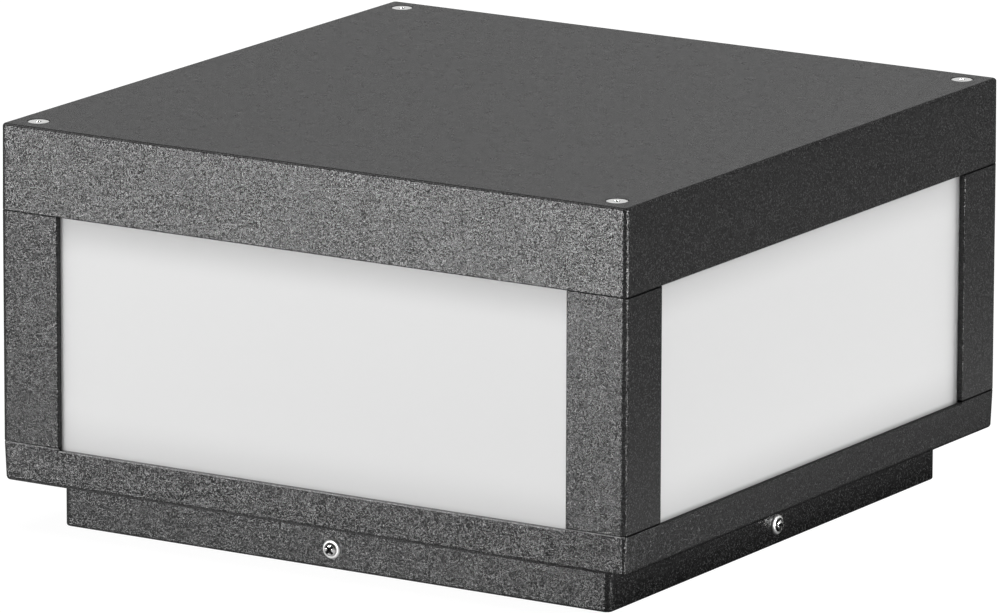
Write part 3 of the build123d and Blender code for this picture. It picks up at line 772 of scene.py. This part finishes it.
surfaces = []
for stop, size in enumerate(cap_screw_sizes):
    twist = 0.3 + 1.1 * stop
    recess = cross(size, share=0.26, depth=0.7)
    surfaces.append(screw(size, sunk_head, recess, seen_turns, m4_pitch, 14 * MM, twist))
turned_piece("cap_screws_detailed", surfaces, stainless, "cap_screws")

# %% Hidden screws
m3_pitch = 0.5 * MM
hidden_turns = 40
UP = (0, 0, 1)
DOWN = (0, 0, -1)
hidden = {
    "post_screws": (DOWN, zinc, m4_pitch),
    "skirt_screws": (DOWN, zinc, m4_pitch),
    "reflector_screws": (DOWN, zinc, m3_pitch),
    "cover_screws": (UP, zinc, m4_pitch),
    "led_board_screws": (UP, zinc, m3_pitch),
    "driver_screws": (UP, zinc, m3_pitch),
    "terminal_fixing": (UP, zinc, m3_pitch),
    "earth_screw": (UP, brass, m4_pitch),
}
for node, (axis, finish, pitch) in hidden.items():
    sizes = [measure(points, axis) for points in solids_of(node)]
    surfaces = []
    for stop, size in enumerate(sizes):
        twist = 0.8 * stop
        surfaces.append(screw(size, pan_head, cross(size), hidden_turns, pitch, 15 * MM, twist, rings=20))
    turned_piece(f"{node}_detailed", surfaces, finish, node)


# %% Terminal screws
def clamp_disc(size, turns=48, rings=16):
    """A terminal's clamp screw: a short slotted disc with an eased edge."""
    height = size["top"] - size["tip"]
    ease = 0.15 * size["head"]
    face = np.linspace(0.02, 1.0, rings) * (size["head"] - ease)
    radius = np.append(face, [size["head"], size["head"]])
    level = np.append(np.full(rings, height), [height - ease, 0.0])
    angle = np.linspace(0.0, 2 * np.pi, turns, endpoint=False)[None, :]
    radius = np.repeat(radius[:, None], turns, axis=1)
    level = np.repeat(level[:, None], turns, axis=1)
    level[:rings] -= slot_pit(radius[:rings], angle, 0.4 * height, 0.2 * size["head"])
    return turned_points(size, radius, level)


surfaces = [clamp_disc(measure(points, UP)) for points in solids_of("terminal_screws")]
turned_piece("terminal_screws_detailed", surfaces, zinc, "terminal_screws")

# %% [markdown]
# ## Inner sheets, plastics, rubber and leads
# These show only when the cap is off or the light is lifted. Each still gets its own grain, and three get
# marks: the chips have a round window of yellow phosphor, the white board shows the tracks under its mask
# as faint lines, and the earth lead has a yellow stripe. A picture of the board would need a file, so the
# windows and tracks are masks on the chips' grid, which is measured from the solids.


# %% Plastics, rubber and painted sheet
def moulded(name, colour, roughness, relief=0.004 * MM, grain=700.0, mark=None, mark_colour=None):
    """A fine grain over a faint cloud; mark(place) is 1 where the surface takes the mark's colour."""
    material, place = start_finish(name)
    fine = noise(place, grain, detail=3.0)
    cloud = noise(place, 30.0)
    paint = (0.5 * fine + 0.5 * cloud).blend(darker(colour, 0.82), colour)
    if mark:
        paint = mark(place).blend(paint, mark_colour)
    return end_finish(
        material,
        place,
        Base_Color=paint,
        Roughness=roughness + 0.12 * (fine - 0.5),
        Normal=bump(fine, relief),
    )


chip_columns = np.unique(np.round([points[:, 0].mean() for points in solids_of("led_chips")], 5))
chip_pitch = float(np.diff(chip_columns).min())
chip_start = float(chip_columns[0]) - chip_pitch / 2
print("chips in a row:", len(chip_columns), "pitch in mm:", round(1000 * chip_pitch, 2))


def from_chip(place):
    """How far a place is from the middle of the nearest chip, along x and along y."""
    half = chip_pitch / 2
    return [v.maths("FLOORED_MODULO", v - chip_start, chip_pitch) - half for v in axes(place)[:2]]


def phosphor(place):
    """1 in the round window on top of a chip."""
    along, across = from_chip(place)
    distance = along.maths("SQRT", along * along + across * across)
    return distance.step(1.15 * MM, 1.05 * MM) * normal_axes(place)[2].step(0.5, 0.6)


def tracks(place):
    """1 over the copper tracks, which run through each column of chips."""
    along = from_chip(place)[0]
    return abs(along).step(1.0 * MM, 0.8 * MM)


def stripe(place):
    """1 on the upper part of a lead."""
    return normal_axes(place)[2].step(0.35, 0.45)


# %% Dress the inner pieces
yellow = (0.80, 0.58, 0.06, 1.0)
green = (0.05, 0.30, 0.04, 1.0)
wear(moulded("white_sheet", grey(0.84), 0.42), "cap_reflector", "gear_cover")
rubber = moulded("seal_rubber", grey(0.022), 0.75)
wear(rubber, "lower_seals", "upper_seals", "gland_seal", "gland_insert", "lead_grommet")
board = moulded("white_board", grey(0.80), 0.35, mark=tracks, mark_colour=grey(0.66))
wear(board, "led_board")
wear(moulded("led_package", grey(0.82), 0.40, mark=phosphor, mark_colour=yellow), "led_chips")
plastic = moulded("white_plastic", grey(0.74), 0.45)
wear(plastic, "led_connector", "driver_case", "driver_lid", "screw_retainers")
wear(moulded("terminal_plastic", (0.62, 0.60, 0.52, 1.0), 0.50), "terminal_block")
wear(moulded("gland_plastic", grey(0.030), 0.48), "gland_body", "gland_nut", "gland_locknut")
wear(moulded("brown_lead", (0.11, 0.045, 0.02, 1.0), 0.45), "live_lead")
wear(moulded("blue_lead", (0.03, 0.12, 0.42, 1.0), 0.45), "neutral_lead")
wear(moulded("striped_lead", green, 0.45, mark=stripe, mark_colour=yellow), "earth_lead")
wear(moulded("red_lead", (0.50, 0.03, 0.02, 1.0), 0.45), "led_lead_positive")
wear(moulded("black_lead", grey(0.02), 0.45), "led_lead_negative")

# %% [markdown]
# ## The floor
# The picture has a plain white ground. More light would make a floor white too, but it would burn out the
# panels, so the ground is white to the camera through its own material and the lamps stay at a plain level.
# Mirrored in the coat, it glows with painted light and shade: half bright at the front and painted dark
# beside the plinth, as a shaded table would look.

# %% Floor
floor_reach = 12.0
floor_level = -0.05 * MM
square = ((-1, -1), (1, -1), (1, 1), (-1, 1))
floor_corners = [(x * floor_reach, y * floor_reach, floor_level) for x, y in square]
floor_mesh = bpy.data.meshes.new("floor")
floor_mesh.from_pydata(floor_corners, [], [(0, 1, 2, 3)])
floor = bpy.data.objects.new("floor", floor_mesh)
scene.collection.objects.link(floor)


def paper_white():
    """White to the camera, matt grey to other light, and to mirrored light a glow of painted light and
    shade in zones given in metres.
    """
    material, place = start_finish("paper_white")
    seen = place.node("ShaderNodeLightPath", output="Is Camera Ray")
    by_gloss = place.node("ShaderNodeLightPath", output="Is Glossy Ray")
    x, y = axes(place)[:2]
    front_left = x.step(0.16, 0.02) * y.step(-0.095, -0.12)
    front_right = x.step(0.10, 0.15) * y.step(-0.10, -0.15)
    clear = x.step(0.12, 0.17)
    near = x.step(0.27, 0.17)
    matt = place.node("ShaderNodeBsdfDiffuse", inputs={"Color": grey(0.2)})
    # painted shadow beside the plinth and painted light at the front, seen only in reflections
    shade = clear.blend(grey(0.0), near.blend(grey(0.15), grey(0.60)))
    shade = front_right.blend(shade, grey(0.45))
    shade = front_left.blend(shade, grey(0.50))
    painted_glow = place.node("ShaderNodeEmission", inputs={"Color": shade})
    faint = place.node("ShaderNodeBsdfDiffuse", inputs={"Color": grey(0.12)})
    glow = place.node("ShaderNodeEmission", inputs={"Color": grey(0.955)})
    bright = place.node("ShaderNodeAddShader", inputs={0: faint, 1: glow})
    unseen = place.node("ShaderNodeMixShader", inputs={0: by_gloss, 1: matt, 2: painted_glow})
    mixed = place.node("ShaderNodeMixShader", inputs={0: seen, 1: unseen, 2: bright})
    place.node("ShaderNodeOutputMaterial", inputs={"Surface": mixed})
    return material


floor_mesh.materials.append(paper_white())
print("floor level in mm:", round(1000 * floor_level, 3))

# %% [markdown]
# ## The net behind the light
# The lamp behind has to be strong to rake over the right panel, and it would burn out the back panel.
# Photographers hang a net between such a lamp and the place it should spare. Here it is one thin sheet that
# passes less than half of the light and that no picture shows.

# %% Hang the net
net_left, net_right = -0.45, 0.12
net_y = 0.17
net_height = 0.36
net_corners = [
    (net_left, net_y, 0.0),
    (net_right, net_y, 0.0),
    (net_right, net_y, net_height),
    (net_left, net_y, net_height),
]
net_mesh = bpy.data.meshes.new("net")
net_mesh.from_pydata(net_corners, [], [(0, 1, 2, 3)])
net = bpy.data.objects.new("net", net_mesh)
net.visible_camera = False
net.visible_glossy = False
net.visible_diffuse = False
net.visible_transmission = False
scene.collection.objects.link(net)


def black_net():
    """Thin net that lets 45 per cent of the light through."""
    material, place = start_finish("black_net")
    holes = place.node("ShaderNodeBsdfTransparent", inputs={"Color": grey(0.45)})
    place.node("ShaderNodeOutputMaterial", inputs={"Surface": holes})
    return material


net_mesh.materials.append(black_net())
print("net width in m:", round(net_right - net_left, 2))

# %% [markdown]
# ## The room
# A dark coat shows what it mirrors more than its own colour. The room is dim all round, with a pale sheet
# low behind the light, which the top mirrors, and a pale ceiling for views from above. To the camera it is
# white. A picture of a real studio could do this too, but a few masks of the direction need no file.

# %% World
ambient_level = 0.10
room_level = 0.13
paper_level = 0.80
ceiling_level = 0.60
world = bpy.data.worlds.new("studio")
world.use_nodes = True
world.node_tree.nodes.clear()
sky = Signal(world.node_tree)
by_camera = sky.node("ShaderNodeLightPath", output="Is Camera Ray")
by_gloss = sky.node("ShaderNodeLightPath", output="Is Glossy Ray")
by_glass = sky.node("ShaderNodeLightPath", output="Is Transmission Ray")
compass = sky.node("ShaderNodeTexCoord", output="Generated")
behind = compass.node(
    "ShaderNodeVectorMath",
    {"operation": "DOT_PRODUCT"},
    {0: compass, 1: (-math.sin(camera_azimuth), math.cos(camera_azimuth), 0.0)},
    output="Value",
)
rise = axes(compass)[2]
paper = behind.step(0.55, 0.95) * rise.step(0.135, 0.175) * (1 - rise.step(0.24, 0.28))
ceiling = rise.step(0.80, 0.95)
mirrored = room_level + (paper_level - room_level) * paper + (ceiling_level - room_level) * ceiling
seen_white = by_camera.maths("MAXIMUM", by_camera, by_glass)
strength = ambient_level + seen_white * (1 - ambient_level) + by_gloss * (mirrored - ambient_level)
backdrop = sky.node("ShaderNodeBackground", inputs={"Color": strength})
sky.node("ShaderNodeOutputWorld", inputs={"Surface": backdrop})
scene.world = world
print("world nodes:", len(world.node_tree.nodes))

# %% [markdown]
# ## The lamps
# Three soft lamps in front share the light on the front panel. One far behind at the right rakes over the
# right panel, so that its far edge lies in the post's shade. A weak one at the right lifts the coat there,
# and one overhead lights the top. Three more make highlights only: the glitter on the front, the line on
# the near corner and the line on the upper edge. One lamp could not give all of these, so each job has its
# own.

# %% Lamps
aim = (cad_low + cad_high) / 2


def softbox(name, azimuth, elevation, distance, width, height, watts, mirrored):
    """A soft lamp in a compass direction in degrees; a mirrored one only makes highlights."""
    toward = toward_compass(math.radians(azimuth), math.radians(elevation))
    lamp = bpy.data.lights.new(name, "AREA")
    lamp.shape = "RECTANGLE"
    lamp.size = width
    lamp.size_y = height
    lamp.energy = watts
    holder = bpy.data.objects.new(name, lamp)
    holder.location = aim + distance * toward
    holder.rotation_mode = "QUATERNION"
    holder.rotation_quaternion = toward.to_track_quat("Z", "Y")
    holder.visible_camera = False
    holder.visible_glossy = mirrored
    holder.visible_diffuse = not mirrored
    scene.collection.objects.link(holder)
    print("lamp:", name, watts, "W")


softbox("key_lamp", -29, 5, 3.0, 1.3, 0.5, 50.0, mirrored=False)
softbox("front_fill", 12, 8, 3.0, 1.0, 1.0, 16.0, mirrored=False)
softbox("left_fill", -62, 8, 3.0, 2.2, 1.0, 34.0, mirrored=False)
softbox("right_lamp", 156, 11, 8.0, 5.6, 1.6, 1110.0, mirrored=False)
softbox("top_fill", 0, 88, 2.5, 1.5, 1.5, 28.0, mirrored=False)
softbox("near_lamp", 105, 15, 2.4, 1.0, 1.0, 17.0, mirrored=False)
softbox("front_glint", -20, 5, 3.0, 1.2, 0.5, 88.0, mirrored=True)
softbox("corner_glint", 94, 7, 1.6, 0.5, 0.4, 31.0, mirrored=True)
softbox("top_glint", -70, 50, 2.0, 1.6, 1.6, 9.0, mirrored=True)
